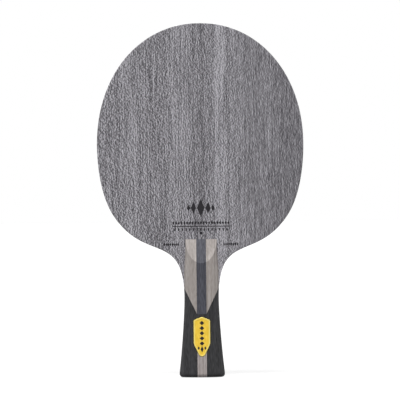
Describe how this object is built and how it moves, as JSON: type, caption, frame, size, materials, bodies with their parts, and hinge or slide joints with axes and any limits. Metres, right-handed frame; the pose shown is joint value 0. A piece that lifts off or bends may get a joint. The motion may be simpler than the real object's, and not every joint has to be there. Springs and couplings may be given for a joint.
{
  "type": "table tennis blade",
  "caption": "Bare table tennis paddle: a laminated wooden blade with carbon layers and a flared, inlaid handle with a metal badge.",
  "frame": {"origin": "centre of the flat butt end of the handle, in the middle of the blade's thickness", "axes": "+Z from the butt along the handle to the crown of the head, +X across the width, +Y through the thickness towards the back; the badge side faces -Y"},
  "size_m": [0.15, 0.0258, 0.257],
  "materials": {
    "core_wood": "pale light wood, end and edge sanded smooth",
    "inner_veneer": "pale veneer, sanded smooth",
    "carbon_cloth": "woven carbon fibre in resin",
    "face_veneer": "grey dyed wood with fine straight grain, satin seal",
    "taupe_wood": "taupe dyed wood, smooth satin",
    "charcoal_wood": "charcoal dyed wood, smooth satin",
    "blue_grey_wood": "blue-grey dyed wood, smooth satin",
    "light_grey_wood": "light grey dyed wood, smooth satin",
    "badge_metal": "satin yellow metal with a raised bright rim"
  },
  "bodies": {
    "root": {"blade_core": "core_wood", "inner_veneer_front": "inner_veneer", "inner_veneer_back": "inner_veneer", "carbon_layer_front": "carbon_cloth", "carbon_layer_back": "carbon_cloth", "face_veneer_front": "face_veneer", "face_veneer_back": "face_veneer", "front_upper_cheek_left": "taupe_wood", "front_upper_cheek_right": "taupe_wood", "front_lower_cheek_left": "charcoal_wood", "front_lower_cheek_right": "charcoal_wood", "front_upper_stripe": "blue_grey_wood", "front_centre_block": "charcoal_wood", "front_lower_stripe": "light_grey_wood", "front_badge": "badge_metal", "back_upper_cheek_left": "taupe_wood", "back_upper_cheek_right": "taupe_wood", "back_lower_cheek_left": "charcoal_wood", "back_lower_cheek_right": "charcoal_wood", "back_upper_stripe": "blue_grey_wood", "back_centre_block": "charcoal_wood", "back_lower_stripe": "light_grey_wood"}
  },
  "joints": []
}
